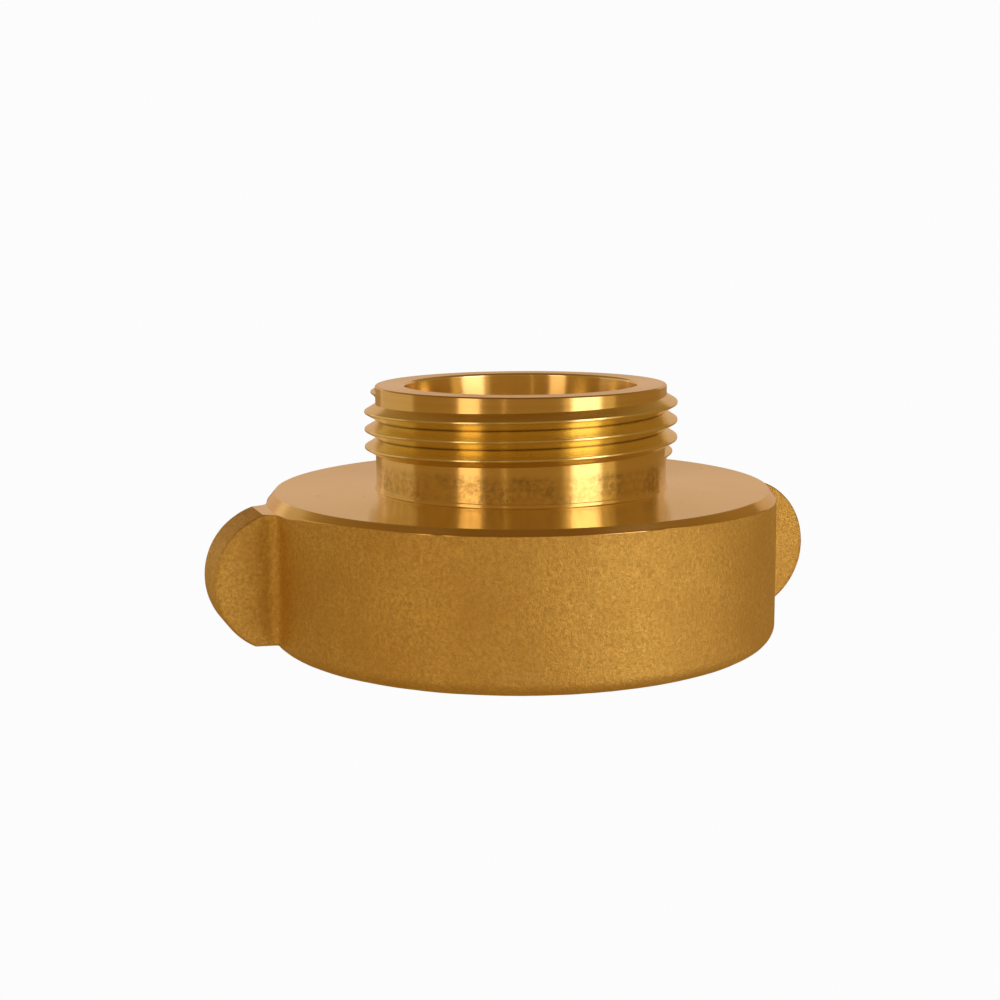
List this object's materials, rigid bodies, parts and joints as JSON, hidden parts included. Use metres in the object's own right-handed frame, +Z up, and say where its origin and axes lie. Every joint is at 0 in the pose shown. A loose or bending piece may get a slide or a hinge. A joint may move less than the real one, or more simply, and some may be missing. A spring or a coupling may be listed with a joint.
{
  "type": "fire hose reducing adapter",
  "caption": "Brass rocker-lug reducing adapter that joins a larger fire hose thread below to a smaller one on top, with a rubber seat gasket.",
  "frame": {"origin": "centre of the bore at the lower face of the female end", "axes": "+Z up along the bore towards the male end, +X through the two rocker lugs, +Y completes the right hand"},
  "size_m": [0.1016, 0.0822, 0.0407],
  "materials": {
    "brass": "cast and shot-blasted ring and lugs, turned neck, threads, rim and shoulder",
    "rubber": "matt black moulded rubber"
  },
  "bodies": {
    "root": {"adapter_body": "brass", "seat_gasket": "rubber"}
  },
  "joints": []
}
